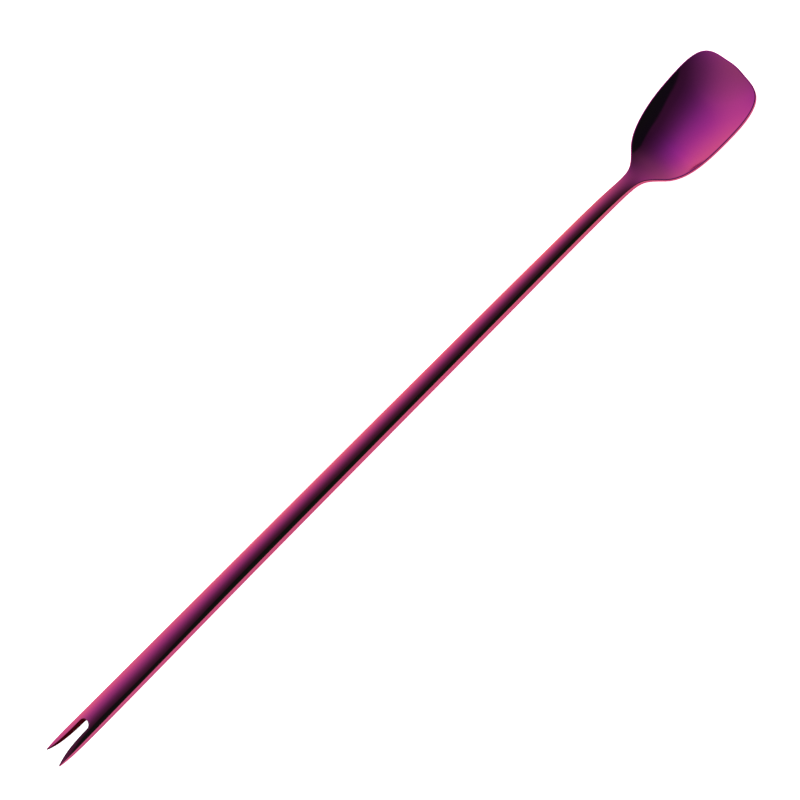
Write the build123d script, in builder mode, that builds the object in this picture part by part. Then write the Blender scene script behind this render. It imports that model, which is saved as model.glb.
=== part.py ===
from build123d import *
import os

import numpy as np

os.makedirs("parts", exist_ok=True)

# A long bar spoon in five pieces: a forged bowl with its neck, a half-round stem, a two-tine
# fork end, and the two films of braze that hold the tangs of the bowl and the fork in the stem.
# It lies bowl up on the plane Z = 0, with the bowl towards +X. A station is a distance along
# the spoon from the tips of the tines, and the origin is under the middle of the spoon.
# All sizes are in millimetres.

# ---- driving dimensions ----
overall_length = 300.0
fork_joint = 32.0  # station where the fork end meets the stem
bowl_joint = 236.0  # station where the stem meets the neck of the bowl
neck_station = 249.0  # station where the neck starts to flare into the bowl
shoulder_station = 260.9  # station of the steepest part of the flare
widest_station = 286.2
corner_station = 299.46  # station where the corner of the bowl runs into its tip
fork_half_width = 4.00
neck_half_width = 2.44
shoulder_half_width = 7.66
bowl_half_width = 14.36
tip_half_width = 5.68
slot_half_width = 1.84
slot_end = 16.65  # station of the closed end of the slot
tine_station = 8.0  # station where the tines start to narrow to their tips
tine_offset = 3.6  # distance of each tip from the middle plane
tine_blunt = 0.14  # half width of the blunt end of a tine
top_edge_radius = 0.3
under_edge_radius = 0.3
rim_radius = 0.35
tang_length = 9.0
tang_height = 1.4
tang_radius = 0.3
bowl_tang_width = 2.6
bowl_tang_middle = 5.85  # height of the middle of the bowl's tang
fork_tang_width = 3.8
fork_tang_middle = 2.15
braze_film = 0.12

# ---- how finely the free surfaces are drawn ----
overhang = 1.12  # how far a surface runs past the outline, as a share of the half width
tolerance = 0.004
points_across = 17
stem_row_spacing = 10.0
fine_row_spacing = 1.2
blank_height = 14.0
cutter_height = 25.0

# ---- profiles: stations and values that a smooth curve passes through ----
half_width = [
    (tine_station, fork_half_width),
    (fork_joint, 3.80),
    (70.0, 3.49),
    (120.0, 3.14),
    (170.0, 2.88),
    (210.0, 2.68),
    (neck_station, neck_half_width),
]
# Height of the upper surface on the middle plane: the crown of the handle, the floor of the bowl.
crown = [
    (-1.0, 1.6),
    (3.0, 2.42),
    (8.0, 3.02),
    (14.0, 3.39),
    (32.0, 3.87),
    (75.0, 5.05),
    (120.0, 6.14),
    (165.0, 6.93),
    (205.0, 7.48),
    (220.0, 7.64),
    (232.0, 7.64),
    (240.0, 7.46),
    (248.0, 6.76),
    (252.0, 6.13),
    (256.0, 5.3),
    (260.0, 4.06),
    (264.0, 2.52),
    (268.0, 1.62),
    (270.5, 1.5),
    (274.0, 2.0),
    (280.0, 3.15),
    (286.0, 4.35),
    (293.0, 6.97),
    (overall_length, 10.57),
    (303.0, 12.4),
]
# Height of the upper surface at the outline: the shoulders of the handle, the rim of the bowl.
edge = [
    (-1.0, 1.6),
    (6.0, 2.0),
    (14.0, 2.22),
    (32.0, 2.71),
    (75.0, 3.87),
    (120.0, 5.0),
    (165.0, 5.88),
    (205.0, 6.48),
    (232.0, 6.72),
    (248.0, 6.22),
    (262.0, 5.03),
    (278.0, 7.14),
    (290.0, 8.65),
    (overall_length, 10.57),
    (303.0, 11.21),
]
# Height of the under surface on the middle plane.
under = [
    (-1.0, 1.25),
    (2.0, 0.72),
    (6.0, 0.3),
    (10.0, 0.06),
    (14.0, 0.0),
    (20.0, 0.03),
    (32.0, 0.24),
    (50.0, 0.66),
    (75.0, 1.28),
    (120.0, 2.12),
    (165.0, 2.92),
    (205.0, 3.78),
    (220.0, 4.1),
    (232.0, 4.27),
    (240.0, 4.25),
    (248.0, 3.98),
    (252.0, 3.58),
    (256.0, 2.9),
    (260.0, 1.92),
    (264.0, 0.76),
    (268.0, 0.11),
    (270.5, 0.0),
    (274.0, 0.49),
    (280.0, 1.62),
    (286.0, 2.82),
    (293.0, 5.45),
    (overall_length, 9.07),
    (303.0, 10.9),
]
# Height of the under surface at the outline.
lip = [
    (-1.0, 1.25),
    (2.0, 0.72),
    (6.0, 0.3),
    (10.0, 0.06),
    (14.0, 0.0),
    (20.0, 0.03),
    (32.0, 0.24),
    (50.0, 0.66),
    (75.0, 1.28),
    (120.0, 2.12),
    (165.0, 2.92),
    (205.0, 3.78),
    (220.0, 4.1),
    (232.0, 4.3),
    (240.0, 4.32),
    (248.0, 4.22),
    (262.0, 3.63),
    (278.0, 5.74),
    (290.0, 7.25),
    (overall_length, 9.17),
    (303.0, 9.81),
]


def slopes(profile):
    """The slope of the smoothest curve at each of a profile's points."""
    s, v = np.array(profile).T
    h = np.diff(s)
    rise = np.diff(v) / h
    last = len(s) - 1
    system = np.zeros((last + 1, last + 1))
    target = np.zeros(last + 1)
    system[0, :2] = 2, 1
    target[0] = 3 * rise[0]
    system[last, last - 1 :] = 1, 2
    target[last] = 3 * rise[-1]
    for i in range(1, last):
        system[i, i - 1 : i + 2] = h[i], 2 * (h[i - 1] + h[i]), h[i - 1]
        target[i] = 3 * (h[i] * rise[i - 1] + h[i - 1] * rise[i])
    return np.linalg.solve(system, target)


def smooth(profile):
    """The smooth curve through a profile: a function that gives values and slopes at stations."""
    knots = [(s, v, m) for (s, v), m in zip(profile, slopes(profile))]

    def curve(station):
        for (s0, v0, m0), (s1, v1, m1) in zip(knots, knots[1:]):
            if station <= s1:
                break
        h = s1 - s0
        t = (station - s0) / h
        start = (1 + 2 * t) * (1 - t) ** 2 * v0 + t * (1 - t) ** 2 * h * m0
        end = t * t * (3 - 2 * t) * v1 + t * t * (t - 1) * h * m1
        slope = 6 * t * (1 - t) * (v1 - v0) / h + (1 - t) * (1 - 3 * t) * m0 + t * (3 * t - 2) * m1
        return start + end, slope

    return curve


half_width_curve = smooth(half_width)
crown_curve = smooth(crown)
edge_curve = smooth(edge)
under_curve = smooth(under)
lip_curve = smooth(lip)


def at(station, across):
    """The plan point of a station and a distance from the middle plane."""
    return (station - overall_length / 2, across)


def handle_side(first, last):
    """Control points for the side of the handle between two stations, one cubic for each span."""
    inner = [s for s, _ in half_width if first < s < last]
    stations = [first, *inner, last]
    spans = []
    for s0, s1 in zip(stations, stations[1:]):
        third = (s1 - s0) / 3
        v0, m0 = half_width_curve(s0)
        v1, m1 = half_width_curve(s1)
        after = at(s0 + third, v0 + m0 * third)
        before = at(s1 - third, v1 - m1 * third)
        spans.append([at(s0, v0), after, before, at(s1, v1)])
    return spans


# ---- the outline of the bowl: the flare of the neck, the shoulder, the corner and the tip ----
flare_side = [
    at(neck_station, neck_half_width),
    at(neck_station + 7.3, neck_half_width - 0.05),
    at(256.8, 3.03),
    at(shoulder_station, shoulder_half_width),
]
shoulder_side = [
    at(shoulder_station, shoulder_half_width),
    at(265.2, 12.62),
    at(273.3, bowl_half_width),
    at(widest_station, bowl_half_width),
]
corner_side = [
    at(widest_station, bowl_half_width),
    at(297.2, bowl_half_width),
    at(298.86, 11.1),
    at(corner_station, tip_half_width),
]
tip_side = [
    at(corner_station, tip_half_width),
    at(299.74, 3.07),
    at(overall_length, 1.6),
    at(overall_length, 0.0),
]
# The dish keeps this gently closing side past the corner, so that it stays smooth there.
dish_side = [
    at(widest_station, bowl_half_width),
    at(292.2, bowl_half_width),
    at(297.0, 12.9),
    at(302.5, 11.7),
]
bowl_sides = [
    *handle_side(bowl_joint, neck_station),
    flare_side,
    shoulder_side,
    corner_side,
    tip_side,
]
bowl_guide = [*handle_side(bowl_joint - 2, neck_station), flare_side, shoulder_side, dish_side]
stem_sides = handle_side(fork_joint, bowl_joint)
stem_guide = handle_side(fork_joint - 2, bowl_joint + 2)
fork_guide = [
    [at(s, fork_half_width) for s in (-0.9, 2.0, 5.0, tine_station)],
    *handle_side(tine_station, fork_joint + 2),
]


def surface(guide, row_spacing, middle_curve, side_curve):
    """A smooth surface over the plan between a guide and its mirror image."""
    side = Wire([Bezier(*controls) for controls in guide])
    rows = round(side.length / row_spacing)
    shares = np.linspace(-overhang, overhang, points_across)
    grid = []
    for i in range(rows + 1):
        point = side @ (i / rows)
        station = point.X + overall_length / 2
        side_height = side_curve(station)[0]
        crowning = middle_curve(station)[0] - side_height
        heights = side_height + crowning * (1 - shares**2)
        grid.append([(point.X, share * point.Y, z) for share, z in zip(shares, heights)])
    return Face.make_surface_from_array_of_points(grid, tol=tolerance, min_deg=3, max_deg=5)


def cutters(guide, row_spacing):
    """What is cut away above the upper surface and below the under surface."""
    upper = surface(guide, row_spacing, crown_curve, edge_curve)
    lower = surface(guide, row_spacing, under_curve, lip_curve)
    above = extrude(upper, amount=cutter_height, dir=(0, 0, 1))
    below = extrude(lower, amount=cutter_height, dir=(0, 0, -1))
    return above, below


def broad_faces(piece):
    """The upper surface and the under surface of a piece."""
    back, top = piece.faces().sort_by(SortBy.AREA)[-2:].sort_by(Axis.Z)
    return top, back


def long_edges(face, *joints):
    """The edges of an upper or under surface, without those in the planes of the joints."""
    planes = [station - overall_length / 2 for station in joints]
    return [e for e in face.edges() if all(abs(e.center().X - x) > 0.01 for x in planes)]


def outer_edges(face, joint):
    """The long edges of a face that lie on the sides of the handle, away from the slot."""
    inner = slot_half_width + 0.9
    return [e for e in long_edges(face, joint) if abs(e.center().Y) > inner and e.length > 1]


# ---- tangs and the films of braze around them ----
def tang_block(joint, middle, width, growth):
    """A round-edged block from a joint into the stem, grown on all sides by growth."""
    towards_stem = 1 if joint == fork_joint else -1
    length = tang_length + growth
    with BuildPart() as block:
        with BuildSketch(Plane.YZ.offset(joint - overall_length / 2)):
            with Locations((0, middle)):
                RectangleRounded(width + 2 * growth, tang_height + 2 * growth, tang_radius + growth)
        extrude(amount=towards_stem * length)
    return block.part


bowl_tang = tang_block(bowl_joint, bowl_tang_middle, bowl_tang_width, 0)
bowl_socket = tang_block(bowl_joint, bowl_tang_middle, bowl_tang_width, braze_film)
fork_tang = tang_block(fork_joint, fork_tang_middle, fork_tang_width, 0)
fork_socket = tang_block(fork_joint, fork_tang_middle, fork_tang_width, braze_film)

# ---- stem: half-round above and flat below, gently arched, with a socket in each end ----
stem_above, stem_below = cutters(stem_guide, stem_row_spacing)

with BuildPart() as stem:
    with BuildSketch(Plane.XY.offset(-1)):
        with BuildLine():
            for controls in stem_sides:
                Bezier(*controls)
            mirror(about=Plane.XZ)
            for station in (fork_joint, bowl_joint):
                half = half_width_curve(station)[0]
                Line(at(station, -half), at(station, half))
        make_face()
    extrude(amount=blank_height)
    add(stem_above, mode=Mode.SUBTRACT)
    add(stem_below, mode=Mode.SUBTRACT)
    top, back = broad_faces(stem)
    fillet(long_edges(top, fork_joint, bowl_joint), top_edge_radius)
    top, back = broad_faces(stem)
    fillet(long_edges(back, fork_joint, bowl_joint), under_edge_radius)
    add(bowl_socket, mode=Mode.SUBTRACT)
    add(fork_socket, mode=Mode.SUBTRACT)
stem.part.label = "stem"

# ---- bowl: the tang, the neck, the flare and the dish in one forging ----
bowl_above, bowl_below = cutters(bowl_guide, fine_row_spacing)

with BuildPart() as bowl:
    with BuildSketch(Plane.XY.offset(-1)):
        with BuildLine():
            for controls in bowl_sides:
                Bezier(*controls)
            mirror(about=Plane.XZ)
            half = half_width_curve(bowl_joint)[0]
            Line(at(bowl_joint, -half), at(bowl_joint, half))
        make_face()
    extrude(amount=blank_height)
    add(bowl_above, mode=Mode.SUBTRACT)
    add(bowl_below, mode=Mode.SUBTRACT)
    top, back = broad_faces(bowl)
    fillet(long_edges(top, bowl_joint), rim_radius)
    top, back = broad_faces(bowl)
    fillet(long_edges(back, bowl_joint), under_edge_radius)
    add(bowl_tang)
bowl.part.label = "bowl"

# ---- fork end: two pointed tines either side of an open slot, and a tang ----
fork_above, fork_below = cutters(fork_guide, fine_row_spacing)
slot_centre = slot_end - slot_half_width

with BuildPart() as fork:
    with BuildSketch(Plane.XY.offset(-1)):
        with BuildLine():
            Bezier(
                at(0, tine_offset + tine_blunt),
                at(1.5, 3.96),
                at(5.0, fork_half_width),
                at(tine_station, fork_half_width),
            )
            for controls in handle_side(tine_station, fork_joint):
                Bezier(*controls)
            Line(at(0, tine_offset + tine_blunt), at(0, tine_offset - tine_blunt))
            Bezier(
                at(0, tine_offset - tine_blunt),
                at(3.6, 2.15),
                at(9.0, slot_half_width),
                at(slot_centre, slot_half_width),
            )
            mirror(about=Plane.XZ)
            ThreePointArc(
                at(slot_centre, slot_half_width),
                at(slot_end, 0),
                at(slot_centre, -slot_half_width),
            )
            half = half_width_curve(fork_joint)[0]
            Line(at(fork_joint, -half), at(fork_joint, half))
        make_face()
    extrude(amount=blank_height)
    add(fork_above, mode=Mode.SUBTRACT)
    add(fork_below, mode=Mode.SUBTRACT)
    top, back = broad_faces(fork)
    fillet(outer_edges(top, fork_joint), top_edge_radius)
    top, back = broad_faces(fork)
    fillet(outer_edges(back, fork_joint), under_edge_radius)
    add(fork_tang)
fork.part.label = "fork_end"

# ---- braze: a thin thimble of filler metal around each tang ----
with BuildPart() as bowl_braze:
    add(bowl_socket)
    add(bowl_tang, mode=Mode.SUBTRACT)
bowl_braze.part.label = "bowl_braze"

with BuildPart() as fork_braze:
    add(fork_socket)
    add(fork_tang, mode=Mode.SUBTRACT)
fork_braze.part.label = "fork_braze"

export_step(bowl.part, "parts/bowl.step")
export_step(stem.part, "parts/stem.step")
export_step(fork.part, "parts/fork_end.step")
export_step(bowl_braze.part, "parts/bowl_braze.step")
export_step(fork_braze.part, "parts/fork_braze.step")
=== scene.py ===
import math

import bpy
import numpy as np
from mathutils import Matrix, Vector


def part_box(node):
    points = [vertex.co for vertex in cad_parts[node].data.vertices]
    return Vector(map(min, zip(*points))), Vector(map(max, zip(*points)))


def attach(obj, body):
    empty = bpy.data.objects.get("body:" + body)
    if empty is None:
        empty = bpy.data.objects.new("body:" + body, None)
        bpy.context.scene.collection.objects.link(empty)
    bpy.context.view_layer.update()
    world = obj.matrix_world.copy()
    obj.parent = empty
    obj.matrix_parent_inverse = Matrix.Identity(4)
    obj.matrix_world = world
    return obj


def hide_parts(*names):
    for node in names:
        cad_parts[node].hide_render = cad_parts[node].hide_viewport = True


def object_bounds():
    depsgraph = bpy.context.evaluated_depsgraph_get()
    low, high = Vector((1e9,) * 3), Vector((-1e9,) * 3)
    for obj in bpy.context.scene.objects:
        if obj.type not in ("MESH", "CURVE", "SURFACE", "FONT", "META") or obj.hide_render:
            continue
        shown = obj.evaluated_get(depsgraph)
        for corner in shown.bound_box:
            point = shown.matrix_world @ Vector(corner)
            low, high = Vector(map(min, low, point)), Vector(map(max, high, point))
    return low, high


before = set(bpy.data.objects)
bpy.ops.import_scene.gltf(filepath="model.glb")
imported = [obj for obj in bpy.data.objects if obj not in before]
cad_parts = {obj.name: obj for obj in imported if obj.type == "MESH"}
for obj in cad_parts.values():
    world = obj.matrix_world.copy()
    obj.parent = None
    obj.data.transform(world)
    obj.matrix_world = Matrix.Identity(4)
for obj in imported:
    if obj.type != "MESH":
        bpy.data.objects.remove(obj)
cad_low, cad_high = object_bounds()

# A long bar spoon, mirror-polished and coated purple, lying bowl up on a pale floor. A station
# is a distance along the spoon from the tips of its tines. Shapes are worked out in millimetres
# and made in metres, in the frame of the CAD model.

# ---- sizes read from the frame ----
MM = 0.001
stem_low, stem_high = (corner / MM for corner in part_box("stem"))
bowl_braze_low, bowl_braze_high = (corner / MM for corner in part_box("bowl_braze"))
fork_braze_low, fork_braze_high = (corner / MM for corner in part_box("fork_braze"))
overall_length = (cad_high.x - cad_low.x) / MM
start_x = cad_low.x / MM
fork_joint = stem_low.x - start_x
bowl_joint = stem_high.x - start_x
fork_half_width = (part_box("fork_end")[1] / MM).y
bowl_half_width = (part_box("bowl")[1] / MM).y

# ---- sizes of the features, in millimetres ----
neck_station = 249.0
neck_half_width = 2.44
shoulder_station = 260.9
shoulder_half_width = 7.66
widest_station = 286.2
corner_station = 299.46
tip_half_width = 5.68
slot_half_width = 1.84
slot_end = 16.65
tine_station = 8.0
tine_offset = 3.6
tine_blunt = 0.14
handle_radius = 0.3
rim_radius = 0.35
slot_radius = 0.12
rim_blend = 14.0  # length over which the edge of the handle becomes the rim of the bowl
outer_share, inner_share = 0.42, 0.2  # largest radii at the tips, as shares of a tine's width
tang_corner, tang_corner_share = 0.42, 0.3  # the latter as a share of the height
braze_film = 0.12

# ---- profiles: stations and heights that a smooth curve passes through ----
half_width = [
    (tine_station, fork_half_width), (32.0, 3.80), (70.0, 3.49), (120.0, 3.14),
    (170.0, 2.88), (210.0, 2.68), (neck_station, neck_half_width),
]
# the upper surface on the middle plane: the crown of the handle, the floor of the bowl
crown = [
    (-1.0, 1.6), (3.0, 2.42), (8.0, 3.02), (14.0, 3.39), (32.0, 3.87), (75.0, 5.05),
    (120.0, 6.14), (165.0, 6.93), (205.0, 7.48), (220.0, 7.64), (232.0, 7.64), (240.0, 7.46),
    (248.0, 6.76), (252.0, 6.13), (256.0, 5.3), (260.0, 4.06), (264.0, 2.52), (268.0, 1.62),
    (270.5, 1.5), (274.0, 2.0), (280.0, 3.15), (286.0, 4.35), (293.0, 6.97),
    (overall_length, 10.57), (303.0, 12.4),
]
# the upper surface at the outline: the shoulders of the handle, the rim of the bowl
edge = [
    (-1.0, 1.6), (6.0, 2.0), (14.0, 2.22), (32.0, 2.71), (75.0, 3.87), (120.0, 5.0),
    (165.0, 5.88), (205.0, 6.48), (232.0, 6.72), (248.0, 6.22), (262.0, 5.03), (278.0, 7.14),
    (290.0, 8.65), (overall_length, 10.57), (303.0, 11.21),
]
# the under surface on the middle plane
under = [
    (-1.0, 1.25), (2.0, 0.72), (6.0, 0.3), (10.0, 0.06), (14.0, 0.0), (20.0, 0.03),
    (32.0, 0.24), (50.0, 0.66), (75.0, 1.28), (120.0, 2.12), (165.0, 2.92), (205.0, 3.78),
    (220.0, 4.1), (232.0, 4.27), (240.0, 4.25), (248.0, 3.98), (252.0, 3.58), (256.0, 2.9),
    (260.0, 1.92), (264.0, 0.76), (268.0, 0.11), (270.5, 0.0), (274.0, 0.49), (280.0, 1.62),
    (286.0, 2.82), (293.0, 5.45), (overall_length, 9.07), (303.0, 10.9),
]
# the under surface at the outline
lip = [
    (-1.0, 1.25), (2.0, 0.72), (6.0, 0.3), (10.0, 0.06), (14.0, 0.0), (20.0, 0.03),
    (32.0, 0.24), (50.0, 0.66), (75.0, 1.28), (120.0, 2.12), (165.0, 2.92), (205.0, 3.78),
    (220.0, 4.1), (232.0, 4.3), (240.0, 4.32), (248.0, 4.22), (262.0, 3.63), (278.0, 5.74),
    (290.0, 7.25), (overall_length, 9.17), (303.0, 9.81),
]

# ---- how finely the pieces are drawn ----
ACROSS = 33  # points from the middle plane to the outline
ARC = 9  # points round an edge
TABLE = 6000  # points in the table of the guide's half width
CURVE = 400  # points along the sides of a tine before they are matched
STEM_STEP = 1.5
NECK_STEP = 0.6
FORK_STEP = 0.5
TINE_ROWS = 46
TINE_CROWDING = 1.6  # how much closer together the rows of a tine are towards its tip
BEND_ROWS = 25  # rows round the closed end of the slot


# ==== curves ====
def smooth(profile):
    """The smooth curve through a profile: a function that gives values and slopes at stations."""
    s, v = np.array(profile).T
    h = np.diff(s)
    rise = np.diff(v) / h
    last = len(s) - 1
    system = np.zeros((last + 1, last + 1))
    target = np.zeros(last + 1)
    system[0, :2] = 2, 1
    target[0] = 3 * rise[0]
    system[last, last - 1:] = 1, 2
    target[last] = 3 * rise[-1]
    for i in range(1, last):
        system[i, i - 1:i + 2] = h[i], 2 * (h[i - 1] + h[i]), h[i - 1]
        target[i] = 3 * (h[i] * rise[i - 1] + h[i - 1] * rise[i])
    m = np.linalg.solve(system, target)

    def curve(station):
        station = np.asarray(station, float)
        i = np.clip(np.searchsorted(s, station, side="right") - 1, 0, last - 1)
        t = (station - s[i]) / h[i]
        start = (1 + 2 * t) * (1 - t) ** 2 * v[i] + t * (1 - t) ** 2 * h[i] * m[i]
        end = t * t * (3 - 2 * t) * v[i + 1] + t * t * (t - 1) * h[i] * m[i + 1]
        slope = 6 * t * (1 - t) * rise[i] + (1 - t) * (1 - 3 * t) * m[i]
        slope = slope + t * (3 * t - 2) * m[i + 1]
        return start + end, slope

    return curve


def bezier(controls, steps):
    """Points along a cubic, and their directions."""
    a, b, c, d = np.array(controls, float)
    t = np.linspace(0, 1, steps)[:, None]
    points = (1 - t) ** 3 * a + 3 * t * (1 - t) ** 2 * b + 3 * t * t * (1 - t) * c + t ** 3 * d
    ways = (1 - t) ** 2 * (b - a) + 2 * t * (1 - t) * (c - b) + t * t * (d - c)
    return points, ways


half_width_curve = smooth(half_width)
crown_curve = smooth(crown)
edge_curve = smooth(edge)
under_curve = smooth(under)
lip_curve = smooth(lip)

flare_side = [
    (neck_station, neck_half_width),
    (neck_station + 7.3, neck_half_width - 0.05),
    (256.8, 3.03),
    (shoulder_station, shoulder_half_width),
]
shoulder_side = [
    (shoulder_station, shoulder_half_width),
    (265.2, 12.62),
    (273.3, bowl_half_width),
    (widest_station, bowl_half_width),
]
corner_side = [
    (widest_station, bowl_half_width),
    (297.2, bowl_half_width),
    (298.86, 11.1),
    (corner_station, tip_half_width),
]
tip_side = [
    (corner_station, tip_half_width),
    (299.74, 3.07),
    (overall_length, 1.6),
    (overall_length, 0.0),
]
dish_side = [
    (widest_station, bowl_half_width),
    (292.2, bowl_half_width),
    (297.0, 12.9),
    (302.5, 11.7),
]


def guide_table():
    """Stations, and the half width of the surfaces there with its slope."""
    handle = np.linspace(-1.0, neck_station, TABLE)
    width, slope = half_width_curve(np.maximum(handle, tine_station))
    slope = np.where(handle < tine_station, 0.0, slope)
    stations, widths, slopes = [handle], [width], [slope]
    for side in (flare_side, shoulder_side, dish_side):
        points, ways = bezier(side, TABLE)
        stations.append(points[1:, 0])
        widths.append(points[1:, 1])
        slopes.append(ways[1:, 1] / ways[1:, 0])
    return np.concatenate(stations), np.concatenate(widths), np.concatenate(slopes)


guide_stations, guide_widths, guide_slopes = guide_table()


def surface(middle_curve, side_curve, s, y):
    """Height of a surface over plan points, and its slopes along and across the spoon."""
    w = np.interp(s, guide_stations, guide_widths)
    w_slope = np.interp(s, guide_stations, guide_slopes)
    side, side_slope = side_curve(s)
    middle, middle_slope = middle_curve(s)
    share = 1 - (y / w) ** 2
    along = side_slope + (middle_slope - side_slope) * share
    along = along + (middle - side) * 2 * y * y * w_slope / w ** 3
    across = -2 * (middle - side) * y / (w * w)
    return side + (middle - side) * share, along, across


def upper(s, y):
    return surface(crown_curve, edge_curve, s, y)


def lower(s, y):
    return surface(under_curve, lip_curve, s, y)


# ==== sections: the rounded edges between the upper surface, the side and the under surface ====
def edge_arc(outline, normal, heights, radius, sign):
    """The rounding between a surface and the side of a piece, at each point of its outline.

    sign is 1 for the upper surface and -1 for the under surface. Gives the plan points where
    the surface ends, and the points of the arc from there to the side, one row per outline point.
    """
    _, along, across = heights(outline[:, 0], outline[:, 1])
    lean = sign * (along * normal[:, 0] + across * normal[:, 1])
    inset = radius * (1 + lean / np.sqrt(1 + lean ** 2))
    meets = outline - normal * inset[:, None]
    z, along, across = heights(meets[:, 0], meets[:, 1])
    lean = sign * (along * normal[:, 0] + across * normal[:, 1])
    size = np.sqrt(1 + lean ** 2)
    radius = inset / (1 + lean / size)
    centre_z = z - sign * radius / size
    turn = np.arctan2(1.0, -lean)
    angles = turn[:, None] * np.linspace(1, 0, ARC)[None, :]
    out = radius[:, None] * (np.cos(angles) - 1)
    plan = outline[:, None, :] + normal[:, None, :] * out[:, :, None]
    arc_z = centre_z[:, None] + sign * radius[:, None] * np.sin(angles)
    return meets, np.concatenate([plan, arc_z[:, :, None]], axis=2)


def inside(meets, start, heights):
    """Rows of points on a surface, from plan points start to plan points meets."""
    share = np.linspace(0, 1, ACROSS)[None, :, None]
    plan = start[:, None, :] * (1 - share) + meets[:, None, :] * share
    z, _, _ = heights(plan[:, :, 0], plan[:, :, 1])
    return np.concatenate([plan, z[:, :, None]], axis=2)


def join_half(top, arc_top, arc_low, low):
    """Half sections from their upper surface, two edges and under surface, with a row between."""
    side = (arc_top[:, -1:] + arc_low[:, -1:]) / 2
    return np.concatenate([top, arc_top[:, 1:], side, arc_low[:, ::-1], low[:, -2::-1]], axis=1)


def half_sections(outline, normal, top_radius, under_radius):
    """Half of each section: from the middle of the upper surface, round the side, to the middle
    of the under surface."""
    meets_top, arc_top = edge_arc(outline, normal, upper, top_radius, 1)
    meets_low, arc_low = edge_arc(outline, normal, lower, under_radius, -1)
    to_middle = np.array([1.0, 0.0])
    top = inside(meets_top, meets_top * to_middle, upper)
    low = inside(meets_low, meets_low * to_middle, lower)
    return join_half(top, arc_top, arc_low, low)


# ==== meshes ====
class Shape:
    """Vertices with normals, and faces, of one piece. Points on the middle plane are shared."""

    def __init__(self):
        self.points, self.normals, self.faces, self.finish = [], [], [], []
        self.known = {}

    def vertex(self, point, normal, group=0):
        key = (group, *np.round(point, 5))
        if key not in self.known:
            self.known[key] = len(self.points)
            self.points.append(np.array(point, float))
            self.normals.append(np.array(normal, float))
        return self.known[key]

    def face(self, corners, finish=0):
        kept = [c for i, c in enumerate(corners) if c != corners[i - 1]]
        if len(set(kept)) < 3:
            return
        pairs = zip(kept, kept[1:] + kept[:1])
        around = sum(np.cross(self.points[a], self.points[b]) for a, b in pairs)
        if np.dot(around, sum(self.normals[c] for c in kept)) < 0:
            kept.reverse()
        self.faces.append(kept)
        self.finish.append(finish)

    def grid(self, points, normals, closed=False, group=0, finish=0):
        """A net of faces over rows of points."""
        rows = [
            [self.vertex(point, normal, group) for point, normal in zip(*row)]
            for row in zip(points, normals)
        ]
        for a, b in zip(rows, rows[1:]):
            last = len(a) if closed else len(a) - 1
            for j in range(last):
                k = (j + 1) % len(a)
                self.face([a[j], a[k], b[k], b[j]], finish)

    def build(self, name):
        mesh = bpy.data.meshes.new(name)
        at = np.array(self.points) * MM
        at[:, 0] += start_x * MM
        at[:, 2] = np.clip(at[:, 2], cad_low.z, cad_high.z)
        mesh.from_pydata(at.tolist(), [], self.faces)
        mesh.update()
        mesh.polygons.foreach_set("use_smooth", [True] * len(mesh.polygons))
        mesh.polygons.foreach_set("material_index", self.finish)
        mesh.normals_split_custom_set_from_vertices([normal.tolist() for normal in self.normals])
        piece = bpy.data.objects.new(name, mesh)
        bpy.context.scene.collection.objects.link(piece)
        return piece


def net_normals(points):
    """Normals of a net of points, by the cross product of its two directions."""
    normals = np.cross(np.gradient(points, axis=1), np.gradient(points, axis=0))
    return normals / np.maximum(np.linalg.norm(normals, axis=2, keepdims=True), 1e-12)


def surface_normals(points, heights, sign):
    """Normals of points on the upper surface (sign 1) or the under surface (sign -1)."""
    _, along, across = heights(points[:, :, 0], points[:, :, 1])
    normals = sign * np.stack([-along, -across, np.ones_like(along)], axis=2)
    return normals / np.linalg.norm(normals, axis=2, keepdims=True)


def section_normals(half):
    """Normals of half sections: exact on the two surfaces, and from the net round the edges."""
    normals = net_normals(half)
    top = surface_normals(half[:, :ACROSS], upper, 1)
    low = surface_normals(half[:, -ACROSS:], lower, -1)
    if np.sum(normals[:, ACROSS // 2] * top[:, ACROSS // 2]) < 0:
        normals = -normals
    normals[:, :ACROSS] = top
    normals[:, -ACROSS:] = low
    return normals


def mirrored(points):
    return points * np.array([1.0, -1.0, 1.0])


def handle_outline(stations):
    """Plan points and outward normals of the side of the handle."""
    widths, slopes = half_width_curve(stations)
    outline = np.stack([stations, widths], axis=1)
    normal = np.stack([-slopes, np.ones_like(slopes)], axis=1)
    return outline, normal / np.linalg.norm(normal, axis=1, keepdims=True)


def rounded_ring(count, middle, width, height, radius):
    """Half of a rounded rectangle, as points from its top middle to its bottom middle."""
    straight, upright, bend = width / 2 - radius, height / 2 - radius, math.pi * radius / 2
    total = 2 * straight + 2 * upright + 2 * bend
    ring = []
    for d in np.linspace(0, total, count):
        if d <= straight:
            y, z = d, height / 2
        elif d <= straight + bend:
            a = (d - straight) / radius
            y, z = straight + radius * math.sin(a), upright + radius * math.cos(a)
        elif d <= straight + bend + 2 * upright:
            y, z = width / 2, upright - (d - straight - bend)
        elif d <= straight + 2 * bend + 2 * upright:
            a = (d - straight - bend - 2 * upright) / radius
            y, z = straight + radius * math.cos(a), -upright - radius * math.sin(a)
        else:
            y, z = total - d, -height / 2
        ring.append((y, middle + z))
    return np.array(ring)


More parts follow.
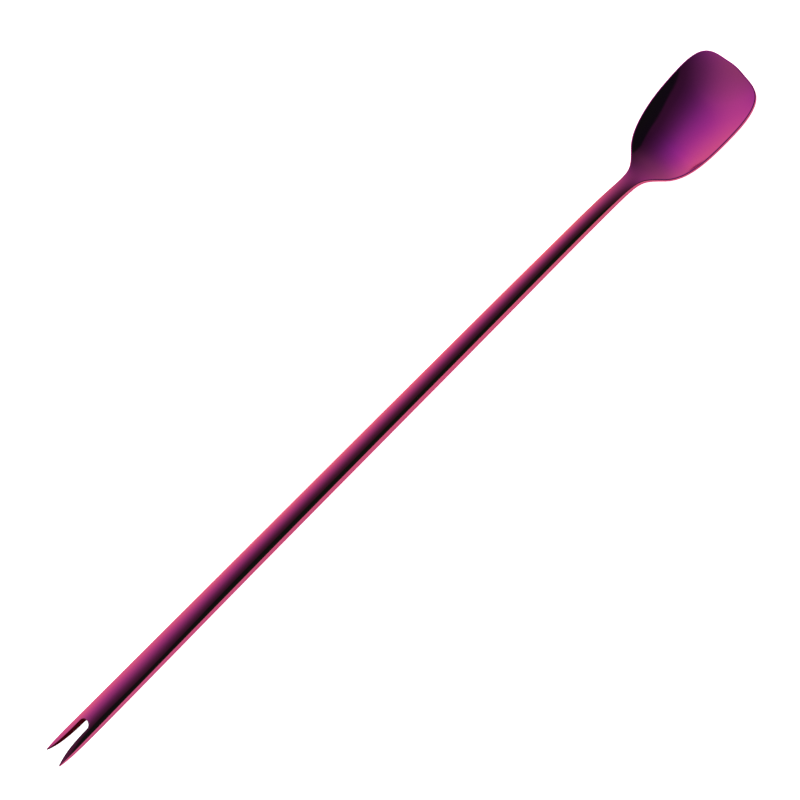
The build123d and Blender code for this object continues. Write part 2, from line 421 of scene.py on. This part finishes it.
def close_end(shape, half_ring, station, away, ring, depth):
    """Closes a piece at a joint with a flat face round a tang or a socket, and makes that."""
    low, high = ring
    middle, height = (low.z + high.z) / 2, high.z - low.z
    width = high.y - low.y
    radius = min(tang_corner, height * tang_corner_share)
    inner = rounded_ring(len(half_ring), middle, width, height, radius)
    for flip in (1, -1):
        outer = half_ring * np.array([1.0, flip, 1.0])
        mouth = np.stack([np.full(len(inner), station), inner[:, 0] * flip, inner[:, 1]], axis=1)
        end = mouth + np.array([depth, 0.0, 0.0])
        facing = np.tile([away, 0.0, 0.0], (len(inner), 1))
        side = np.zeros_like(mouth)
        side[:, 1:] = mouth[:, 1:] - [0.0, middle]
        side /= np.linalg.norm(side, axis=1, keepdims=True)
        side *= 1.0 if depth * away > 0 else -1.0
        for rows, normals, group in (
            ((outer, mouth), (facing, facing), 1),
            ((mouth, end), (side, side), 2),
        ):
            shape.grid(rows, normals, group=group)
        centre = np.tile([station + depth, 0.0, middle], (len(inner), 1))
        shape.grid((end, centre), (facing, facing), group=3)


def tube(shape, half, normals, first, last):
    """The skin of a piece from its half sections and their mirror images."""
    rows = slice(first, last)
    shape.grid(half[rows], normals[rows])
    shape.grid(mirrored(half[rows]), mirrored(normals[rows]))


# ---- stem ----
def make_stem():
    shape = Shape()
    # one more section lies past either joint, so that the normals at the joints are true
    stations = np.concatenate([
        [fork_joint - STEM_STEP],
        np.arange(fork_joint, bowl_joint, STEM_STEP),
        [bowl_joint, bowl_joint + STEM_STEP],
    ])
    outline, normal = handle_outline(stations)
    half = half_sections(outline, normal, handle_radius, handle_radius)
    normals = section_normals(half)
    tube(shape, half, normals, 1, -1)
    close_end(shape, half[1], fork_joint, -1, (fork_braze_low, fork_braze_high),
              fork_braze_high.x - fork_braze_low.x)
    close_end(shape, half[-2], bowl_joint, 1, (bowl_braze_low, bowl_braze_high),
              bowl_braze_low.x - bowl_braze_high.x)
    return shape.build("stem_bar")


# ---- bowl ----
def bowl_outline():
    """The side of the bowl from a little behind its joint to its tip."""
    stations = np.concatenate([
        [bowl_joint - NECK_STEP],
        np.arange(bowl_joint, neck_station, NECK_STEP),
    ])
    outline, normal = handle_outline(stations)
    outlines, normals = [outline], [normal]
    for side, steps in ((flare_side, 40), (shoulder_side, 44), (corner_side, 60), (tip_side, 24)):
        points, ways = bezier(side, steps)
        if side is not flare_side:
            points, ways = points[1:], ways[1:]
        out = np.stack([-ways[:, 1], ways[:, 0]], axis=1)
        outlines.append(points)
        normals.append(out / np.linalg.norm(out, axis=1, keepdims=True))
    return np.concatenate(outlines), np.concatenate(normals)


def make_bowl():
    shape = Shape()
    outline, normal = bowl_outline()
    blend = np.clip((outline[:, 0] - bowl_joint) / rim_blend, 0, 1)
    radius = handle_radius + (rim_radius - handle_radius) * blend
    half = half_sections(outline, normal, radius, np.full(len(outline), handle_radius))
    normals = section_normals(half)
    tube(shape, half, normals, 1, None)
    inset = Vector((0, braze_film, braze_film))
    tang = bowl_braze_low + inset, bowl_braze_high - inset
    close_end(shape, half[1], bowl_joint, -1, tang,
              -(bowl_braze_high.x - bowl_braze_low.x - braze_film))
    return shape.build("bowl_forging")


# ---- fork end ----
def fork_rows():
    """Matching points along the slot and the outer side of the fork, with normals in plan."""
    slot_centre = slot_end - slot_half_width
    inner_tine = [
        (0.0, tine_offset - tine_blunt),
        (3.6, 2.15),
        (9.0, slot_half_width),
        (slot_centre, slot_half_width),
    ]
    outer_tine = [
        (0.0, tine_offset + tine_blunt),
        (1.5, 3.96),
        (5.0, fork_half_width),
        (tine_station, fork_half_width),
    ]
    inner, inner_ways = bezier(inner_tine, CURVE)
    outer, outer_ways = bezier(outer_tine, CURVE)
    # rows across each tine, closer together towards its tip
    stations = slot_centre * np.linspace(0, 1, TINE_ROWS) ** TINE_CROWDING
    inside_y = np.interp(stations, inner[:, 0], inner[:, 1])
    inner_slopes = inner_ways[:, 1] / np.maximum(inner_ways[:, 0], 1e-9)
    inside_slope = np.interp(stations, inner[:, 0], inner_slopes)
    turns = np.linspace(0, math.pi / 2, BEND_ROWS)[1:]
    bend_s, bend_y = slot_half_width * np.sin(turns), slot_half_width * np.cos(turns)
    bend = np.stack([slot_centre + bend_s, bend_y], axis=1)
    first_beyond = 0.3
    beyond = np.concatenate([
        np.arange(slot_end + first_beyond, fork_joint, FORK_STEP),
        [fork_joint, fork_joint + FORK_STEP],
    ])
    inner_points = np.concatenate([
        np.stack([stations, inside_y], axis=1), bend, np.stack([beyond, beyond * 0], axis=1),
    ])
    into_slot = np.concatenate([
        np.stack([inside_slope, -np.ones_like(inside_slope)], axis=1),
        -np.stack([np.sin(turns), np.cos(turns)], axis=1),
    ])
    into_slot /= np.linalg.norm(into_slot, axis=1, keepdims=True)
    # the outer end of each row: level with the inner one in the tines, and level again at the joint
    lead = 1.4
    reach = slot_end + lead
    side_stations = np.concatenate([
        stations,
        slot_centre + (reach - slot_centre) * np.linspace(0, 1, BEND_ROWS)[1:],
        reach + (beyond - slot_end) * (fork_joint - reach) / (fork_joint - slot_end),
    ])
    side_stations[-2:] = fork_joint, fork_joint + FORK_STEP
    widths, slopes = half_width_curve(side_stations)
    in_tine = side_stations < tine_station
    widths = np.where(in_tine, np.interp(side_stations, outer[:, 0], outer[:, 1]), widths)
    outer_slopes = outer_ways[:, 1] / np.maximum(outer_ways[:, 0], 1e-9)
    tine_slopes = np.interp(side_stations, outer[:, 0], outer_slopes)
    slopes = np.where(in_tine, tine_slopes, slopes)
    outer_points = np.stack([side_stations, widths], axis=1)
    outward = np.stack([-slopes, np.ones_like(slopes)], axis=1)
    outward /= np.linalg.norm(outward, axis=1, keepdims=True)
    return inner_points, into_slot, outer_points, outward


def make_fork():
    shape = Shape()
    inner, into_slot, outer, outward = fork_rows()
    slot_rows = len(into_slot)
    gap = np.linalg.norm(outer - inner, axis=1)
    outer_radius = np.minimum(handle_radius, outer_share * gap)
    inner_radius = np.minimum(slot_radius, inner_share * gap[:slot_rows])
    out_top, arc_top = edge_arc(outer, outward, upper, outer_radius, 1)
    out_low, arc_low = edge_arc(outer, outward, lower, outer_radius, -1)
    in_top, slot_top = edge_arc(inner[:slot_rows], into_slot, upper, inner_radius, 1)
    in_low, slot_low = edge_arc(inner[:slot_rows], into_slot, lower, inner_radius, -1)
    start_top = np.concatenate([in_top, inner[slot_rows:]])
    start_low = np.concatenate([in_low, inner[slot_rows:]])
    top = inside(out_top, start_top, upper)
    low = inside(out_low, start_low, lower)
    half = join_half(top, arc_top, arc_low, low)
    normals = section_normals(half)
    tube(shape, half, normals, 0, -1)
    # the wall of the slot
    wall_side = (slot_top[:, -1:] + slot_low[:, -1:]) / 2
    wall = np.concatenate([slot_top, wall_side, slot_low[:, ::-1]], axis=1)
    wall_normals = net_normals(wall)
    facing = np.sum(wall_normals[:, ARC, :2] * into_slot, axis=1)
    wall_normals *= np.sign(facing)[:, None, None]
    wall_normals[:, 0] = surface_normals(wall[:, :1], upper, 1)[:, 0]
    wall_normals[:, -1] = surface_normals(wall[:, -1:], lower, -1)[:, 0]
    wall_normals[-1, :, 1] = 0
    shape.grid(wall, wall_normals, group=5, finish=1)
    shape.grid(mirrored(wall), mirrored(wall_normals), group=5, finish=1)
    # the blunt end of each tine: a smaller ring and a middle point, shaded as if rounded
    nose_size, nose_roundness = 0.55, 0.4
    ring = np.concatenate([half[0], wall[0][::-1]])
    middle = (ring.min(axis=0) + ring.max(axis=0)) / 2
    nose = middle + (ring - middle) * nose_size
    ring_normals = np.concatenate([normals[0], wall_normals[0][::-1]])
    nose_normals = ring_normals * nose_roundness + [-1.0, 0.0, 0.0]
    nose_normals /= np.linalg.norm(nose_normals, axis=1, keepdims=True)
    point = np.tile(middle, (len(ring), 1))
    ahead = np.tile([-1.0, 0.0, 0.0], (len(ring), 1))
    rings, ring_ways = np.array([ring, nose, point]), np.array([ring_normals, nose_normals, ahead])
    shape.grid(rings, ring_ways, closed=True, group=4)
    shape.grid(mirrored(rings), mirrored(ring_ways), closed=True, group=4)
    inset = Vector((0, braze_film, braze_film))
    tang = fork_braze_low + inset, fork_braze_high - inset
    close_end(shape, half[-2], fork_joint, 1, tang,
              fork_braze_high.x - fork_braze_low.x - braze_film)
    return shape.build("fork_tines")


stem_piece = make_stem()
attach(stem_piece, "root")
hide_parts("stem")
bowl_piece = make_bowl()
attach(bowl_piece, "root")
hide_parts("bowl")
fork_piece = make_fork()
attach(fork_piece, "root")
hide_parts("fork_end")


# ==== shader nodes ====
def connect(source, target):
    target.id_data.links.new(source, target)


def node_maker(tree):
    """A function that adds a node to a tree, with its inputs set or linked in order."""

    def add(kind, *values, **settings):
        node = tree.nodes.new(kind)
        for key, value in settings.items():
            setattr(node, key, value)
        for socket, value in zip(node.inputs, values):
            fill(socket, value)
        return node

    return add


def fill(socket, value):
    if isinstance(value, bpy.types.NodeSocket):
        connect(value, socket)
    else:
        socket.default_value = value


def colour_mix(add, share, first, second, blend="MIX"):
    mix = add("ShaderNodeMix", data_type="RGBA", blend_type=blend)
    for socket, value in zip((mix.inputs[0], mix.inputs[6], mix.inputs[7]), (share, first, second)):
        fill(socket, value)
    return mix.outputs[2]


def math_node(add, operation, *values):
    return add("ShaderNodeMath", *values, operation=operation).outputs[0]


def spread(add, value, low, high, first=0.0, last=1.0, **settings):
    """A value between low and high, carried over to the range from first to last."""
    return add("ShaderNodeMapRange", value, low, high, first, last, **settings).outputs[0]


def ramp(add, value, stops):
    """A colour that goes through the stops as the value rises."""
    node = add("ShaderNodeValToRGB", value)
    elements = node.color_ramp.elements
    while len(elements) < len(stops):
        elements.new(0.5)
    for element, (position, colour) in zip(elements, stops):
        element.position = position
        element.color = (*colour, 1)
    return node.outputs[0]


def stretched(add, vector, scale):
    node = add("ShaderNodeMapping", vector)
    node.inputs["Scale"].default_value = scale
    return node.outputs[0]


def noise(add, vector, scale, detail):
    node = add("ShaderNodeTexNoise", vector)
    node.inputs["Scale"].default_value = scale
    node.inputs["Detail"].default_value = detail
    return node.outputs["Fac"]


def relief(add, height, strength, distance):
    """The normals of a surface that is a little uneven."""
    node = add("ShaderNodeBump")
    node.inputs["Strength"].default_value = strength
    node.inputs["Distance"].default_value = distance
    connect(height, node.inputs["Height"])
    return node.outputs["Normal"]


def new_material(name, metallic=1.0):
    """A material, its node maker and the inputs of its shader."""
    material = bpy.data.materials.new(name)
    material.use_nodes = True
    inputs = material.node_tree.nodes["Principled BSDF"].inputs
    inputs["Metallic"].default_value = metallic
    return material, node_maker(material.node_tree), inputs


# ==== materials ====
# The hue of the coating by how level the metal lies, from upright (0) to flat (1). The dark stops
# at upright faces are painted shade, for the shaded floor that the sides reflect; the brighter rose
# where the metal slopes is a painted sheen, the coating's colour when seen at a low angle.
hue_and_painted_light_on_handle = [
    (0.0, (0.29, 0.042, 0.105)), (0.36, (0.31, 0.046, 0.11)), (0.56, (0.66, 0.115, 0.215)),
    (0.866, (0.74, 0.125, 0.225)), (0.94, (0.65, 0.078, 0.235)), (0.985, (0.56, 0.056, 0.235)),
    (1.0, (0.52, 0.046, 0.235)),
]
# in the bowl too: the dark upright stops are painted shade, the rose slope stops a painted sheen
hue_and_painted_light_in_bowl = [
    (0.0, (0.29, 0.035, 0.095)), (0.36, (0.31, 0.040, 0.10)), (0.56, (0.56, 0.080, 0.19)),
    (0.80, (0.62, 0.082, 0.215)), (0.866, (0.60, 0.068, 0.25)), (0.91, (0.55, 0.052, 0.275)),
    (0.96, (0.48, 0.034, 0.30)), (1.0, (0.43, 0.026, 0.325)),
]
# how that hue changes from the tips of the tines (0) to the tip of the bowl (1)
tint_along = [
    (0.0, (1.0, 0.97, 1.0)), (0.12, (1.0, 0.93, 0.98)), (0.30, (0.96, 0.90, 0.86)),
    (0.60, (1.0, 0.95, 0.80)), (0.80, (0.97, 1.0, 0.74)), (0.88, (0.97, 0.97, 0.95)),
    (1.0, (1.0, 1.0, 1.0)),
]
hue_blend = 18.0  # length of the neck over which the hue of the handle becomes the bowl's
hue_drift = 0.012


def coated_steel():
    """Polished steel under a thin hard coating, violet where the metal lies flat and deeper in the
    bowl than on the handle. The brighter rose where it slopes is a painted sheen, and the dark on
    upright sides is painted shade."""
    material, add, inputs = new_material("coated_steel_polish")
    where = add("ShaderNodeTexCoord").outputs
    place = add("ShaderNodeSeparateXYZ", where["Object"]).outputs[0]
    facing = add("ShaderNodeSeparateXYZ", where["Normal"]).outputs[2]
    # the coating is never quite even, so the hue drifts a little along the piece
    drift = noise(add, where["Object"], 38.0, 3.0)
    wander = spread(add, drift, 0.3, 0.7, -hue_drift, hue_drift)
    level = math_node(add, "ADD", math_node(add, "ABSOLUTE", facing), wander)
    in_bowl = spread(add, place, (neck_station + start_x) * MM,
                     (neck_station + hue_blend + start_x) * MM)
    # the coating's own hue, with painted shade on upright sides and a painted sheen on slopes
    hue_and_painted_light = colour_mix(add, in_bowl, ramp(add, level, hue_and_painted_light_on_handle), ramp(add, level, hue_and_painted_light_in_bowl))
    tint = ramp(add, spread(add, place, cad_low.x, cad_high.x), tint_along)
    connect(colour_mix(add, 1.0, hue_and_painted_light, tint, "MULTIPLY"), inputs["Base Color"])
    # the coating keeps its colour where it is seen at a low angle
    inputs["Specular Tint"].default_value = (0.95, 0.60, 0.72, 1)
    # fine polishing lines along the spoon, and a faint bloom
    lines = noise(add, stretched(add, where["Object"], (60.0, 2600.0, 2600.0)), 1.0, 2.0)
    bloom = noise(add, where["Object"], 140.0, 4.0)
    worn = math_node(add, "MULTIPLY", lines, bloom)
    connect(spread(add, worn, 0.1, 0.45, 0.06, 0.12), inputs["Roughness"])
    connect(relief(add, lines, 0.012, 0.0001), inputs["Normal"])
    return material


def marked_metal(name, scale, detail, shades, roughness, depth, stretch=None):
    """Dull metal whose colour, roughness and relief all follow one pattern of marks."""
    material, add, inputs = new_material(name)
    where = add("ShaderNodeTexCoord").outputs["Object"]
    if stretch:
        where = stretched(add, where, stretch)
    marks = noise(add, where, scale, detail)
    connect(ramp(add, marks, shades), inputs["Base Color"])
    connect(spread(add, marks, 0.3, 0.7, *roughness), inputs["Roughness"])
    connect(relief(add, marks, depth, 0.00005), inputs["Normal"])
    return material, inputs


def slot_steel_painted_shade():
    """The walls of the slot, left dull by the cutter, and painted near black: painted shade of the
    narrow gap between the tines.
    """
    material, inputs = marked_metal(
        "coated_steel_slot_painted_shade", 1.0, 3.0,
        # near-black colours: painted shade of the gap between the tines
        [(0.30, (0.025, 0.006, 0.010)), (0.70, (0.065, 0.014, 0.024))],
        (0.28, 0.42), 0.15, stretch=(400.0, 400.0, 3000.0),
    )
    # a dim edge tint, painted shade as well
    inputs["Specular Tint"].default_value = (0.40, 0.22, 0.27, 1)
    return material


def braze_metal():
    """Brazing filler: pale yellow, rippled where it froze."""
    material, _ = marked_metal(
        "braze_filler", 900.0, 4.0,
        [(0.35, (0.50, 0.36, 0.16)), (0.65, (0.72, 0.58, 0.30))],
        (0.3, 0.5), 0.3,
    )
    return material


steel = coated_steel()
for piece in (stem_piece, bowl_piece, fork_piece):
    piece.data.materials.append(steel)
# the walls of the slot take the material with painted shade
fork_piece.data.materials.append(slot_steel_painted_shade())
filler = braze_metal()
for name in ("bowl_braze", "fork_braze"):
    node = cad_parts[name]
    node.data.materials.clear()
    node.data.materials.append(filler)


# ==== floor ====
def floor():
    """A plain white sheet, lit from below as well, so that the spoon casts no shadow on it."""
    mesh = bpy.data.meshes.new("floor")
    size = 6.0
    corners = [(-size, -size, 0), (size, -size, 0), (size, size, 0), (-size, size, 0)]
    mesh.from_pydata(corners, [], [(0, 1, 2, 3)])
    plane = bpy.data.objects.new("floor", mesh)
    bpy.context.scene.collection.objects.link(plane)
    material, _, inputs = new_material("pale_floor", metallic=0.0)
    inputs["Base Color"].default_value = (0.95, 0.95, 0.95, 1)
    inputs["Roughness"].default_value = 0.9
    inputs["Emission Color"].default_value = (1, 1, 1, 1)
    inputs["Emission Strength"].default_value = 0.9
    mesh.materials.append(material)


floor()

# ==== light ====
# The room is bright towards the far side and dims to the near side of the zenith, where a dark
# screen hangs. The screen is a dark green, which looks black in rose metal. Angles are from the
# zenith, positive towards the near side, in degrees.
glow = [
    (-180, 1.0), (-88, 1.0), (-79, 0.96), (-66, 0.90), (-53, 0.80), (-40, 0.66), (-30, 0.54),
    (-22, 0.43), (-12, 0.29), (-3, 0.19), (5, 0.125), (14, 0.075), (24, 0.06), (60, 0.25),
    (78, 0.9), (180, 1.0),
]
# how the light falls off from the end of the room behind the fork (-1) to the other (1)
fall = [
    (-1.0, 0.60), (-0.70, 0.75), (-0.45, 1.0), (0.10, 1.0), (0.36, 0.78), (0.50, 0.62),
    (0.65, 0.48), (1.0, 0.42),
]
dim_tint = (0.80, 1.20, 1.25, 1)
full_tint = (1.0, 1.0, 1.0, 1)
screen_colour = (0.0085, 0.047, 0.021, 1)
screen_near, screen_far = math.radians(23.2), math.radians(60)
screen_bow = math.radians(45)  # its ends reach further towards the zenith than its middle
screen_end = 0.78
near_feather, far_feather, end_feather = math.radians(1.0), math.radians(4.0), 0.03

bpy.context.scene.view_settings.view_transform = "Standard"
world = bpy.data.worlds.new("studio")
bpy.context.scene.world = world
world.use_nodes = True
add_sky = node_maker(world.node_tree)


def grey_ramp(value, low, high, points):
    """A brightness that goes through the points as the value goes from low to high."""
    first, last = points[0][0], points[-1][0]
    stops = [((at - first) / (last - first), (grey, grey, grey)) for at, grey in points]
    return ramp(add_sky, spread(add_sky, value, low, high), stops)


def soft_step(value, edge, feather):
    """Rises softly from 0 to 1 as the value passes the edge, or falls if feather is negative."""
    return spread(add_sky, value, edge - feather, edge + feather, interpolation_type="SMOOTHSTEP")


way = add_sky("ShaderNodeSeparateXYZ", add_sky("ShaderNodeTexCoord").outputs["Generated"]).outputs
near = math_node(add_sky, "MULTIPLY", way[1], -1.0)
angle = math_node(add_sky, "ARCTAN2", near, way[2])
light = math_node(add_sky, "MULTIPLY", grey_ramp(angle, -math.pi, math.pi, glow),
                  grey_ramp(way[0], -1.0, 1.0, fall))
off_middle = math_node(add_sky, "MULTIPLY", way[0], way[0])
bowed = math_node(add_sky, "MULTIPLY_ADD", off_middle, screen_bow, angle)
in_angle = math_node(add_sky, "MULTIPLY", soft_step(bowed, screen_near, near_feather),
                     soft_step(angle, screen_far, -far_feather))
on_screen = math_node(add_sky, "MULTIPLY", in_angle,
                      soft_step(way[0], screen_end, -end_feather))
tinted = colour_mix(add_sky, light, dim_tint, full_tint)
lit = colour_mix(add_sky, 1.0, tinted, light, "MULTIPLY")
seen = colour_mix(add_sky, on_screen, lit, screen_colour)
background = world.node_tree.nodes["Background"].inputs
connect(seen, background["Color"])
background["Strength"].default_value = 1.0

# a wide soft light overhead for the floor, left out of the reflections
lamp_data = bpy.data.lights.new("overhead", "AREA")
lamp_data.shape = "SQUARE"
lamp_data.size = 3.0
lamp_data.energy = 60.0
lamp = bpy.data.objects.new("overhead", lamp_data)
lamp.location = (0.0, 0.0, 2.0)
lamp.visible_glossy = False
lamp.visible_camera = False
bpy.context.scene.collection.objects.link(lamp)

# ==== camera ====
# It looks down from the near side, tilted that way and a little towards the bowl, and is turned
# so that the spoon runs up the picture from lower left to upper right.
tilt, lean, slant = math.radians(25.6), math.radians(4.5), math.radians(44.6655)
distance = 0.68
middle_height, aim_along, aim_beside = 0.00441, 0.00712, 0.002040
toward = Vector((
    math.sin(lean),
    -math.sin(tilt) * math.cos(lean),
    math.cos(tilt) * math.cos(lean),
))
along = (Vector((1, 0, 0)) - toward * toward.x).normalized()
beside = toward.cross(along) * -1
right = along * math.cos(slant) + beside * math.sin(slant)
up = along * math.sin(slant) - beside * math.cos(slant)
aim = Vector((0.0, 0.0, middle_height)) + along * aim_along - beside * aim_beside
turned = Matrix((right, up, toward)).transposed().to_4x4()
camera_data = bpy.data.cameras.new("camera")
camera = bpy.data.objects.new("camera", camera_data)
bpy.context.scene.collection.objects.link(camera)
camera_data.lens = 99.55
camera_data.sensor_width = 36.0
camera.matrix_world = Matrix.Translation(aim + toward * distance) @ turned
bpy.context.scene.camera = camera
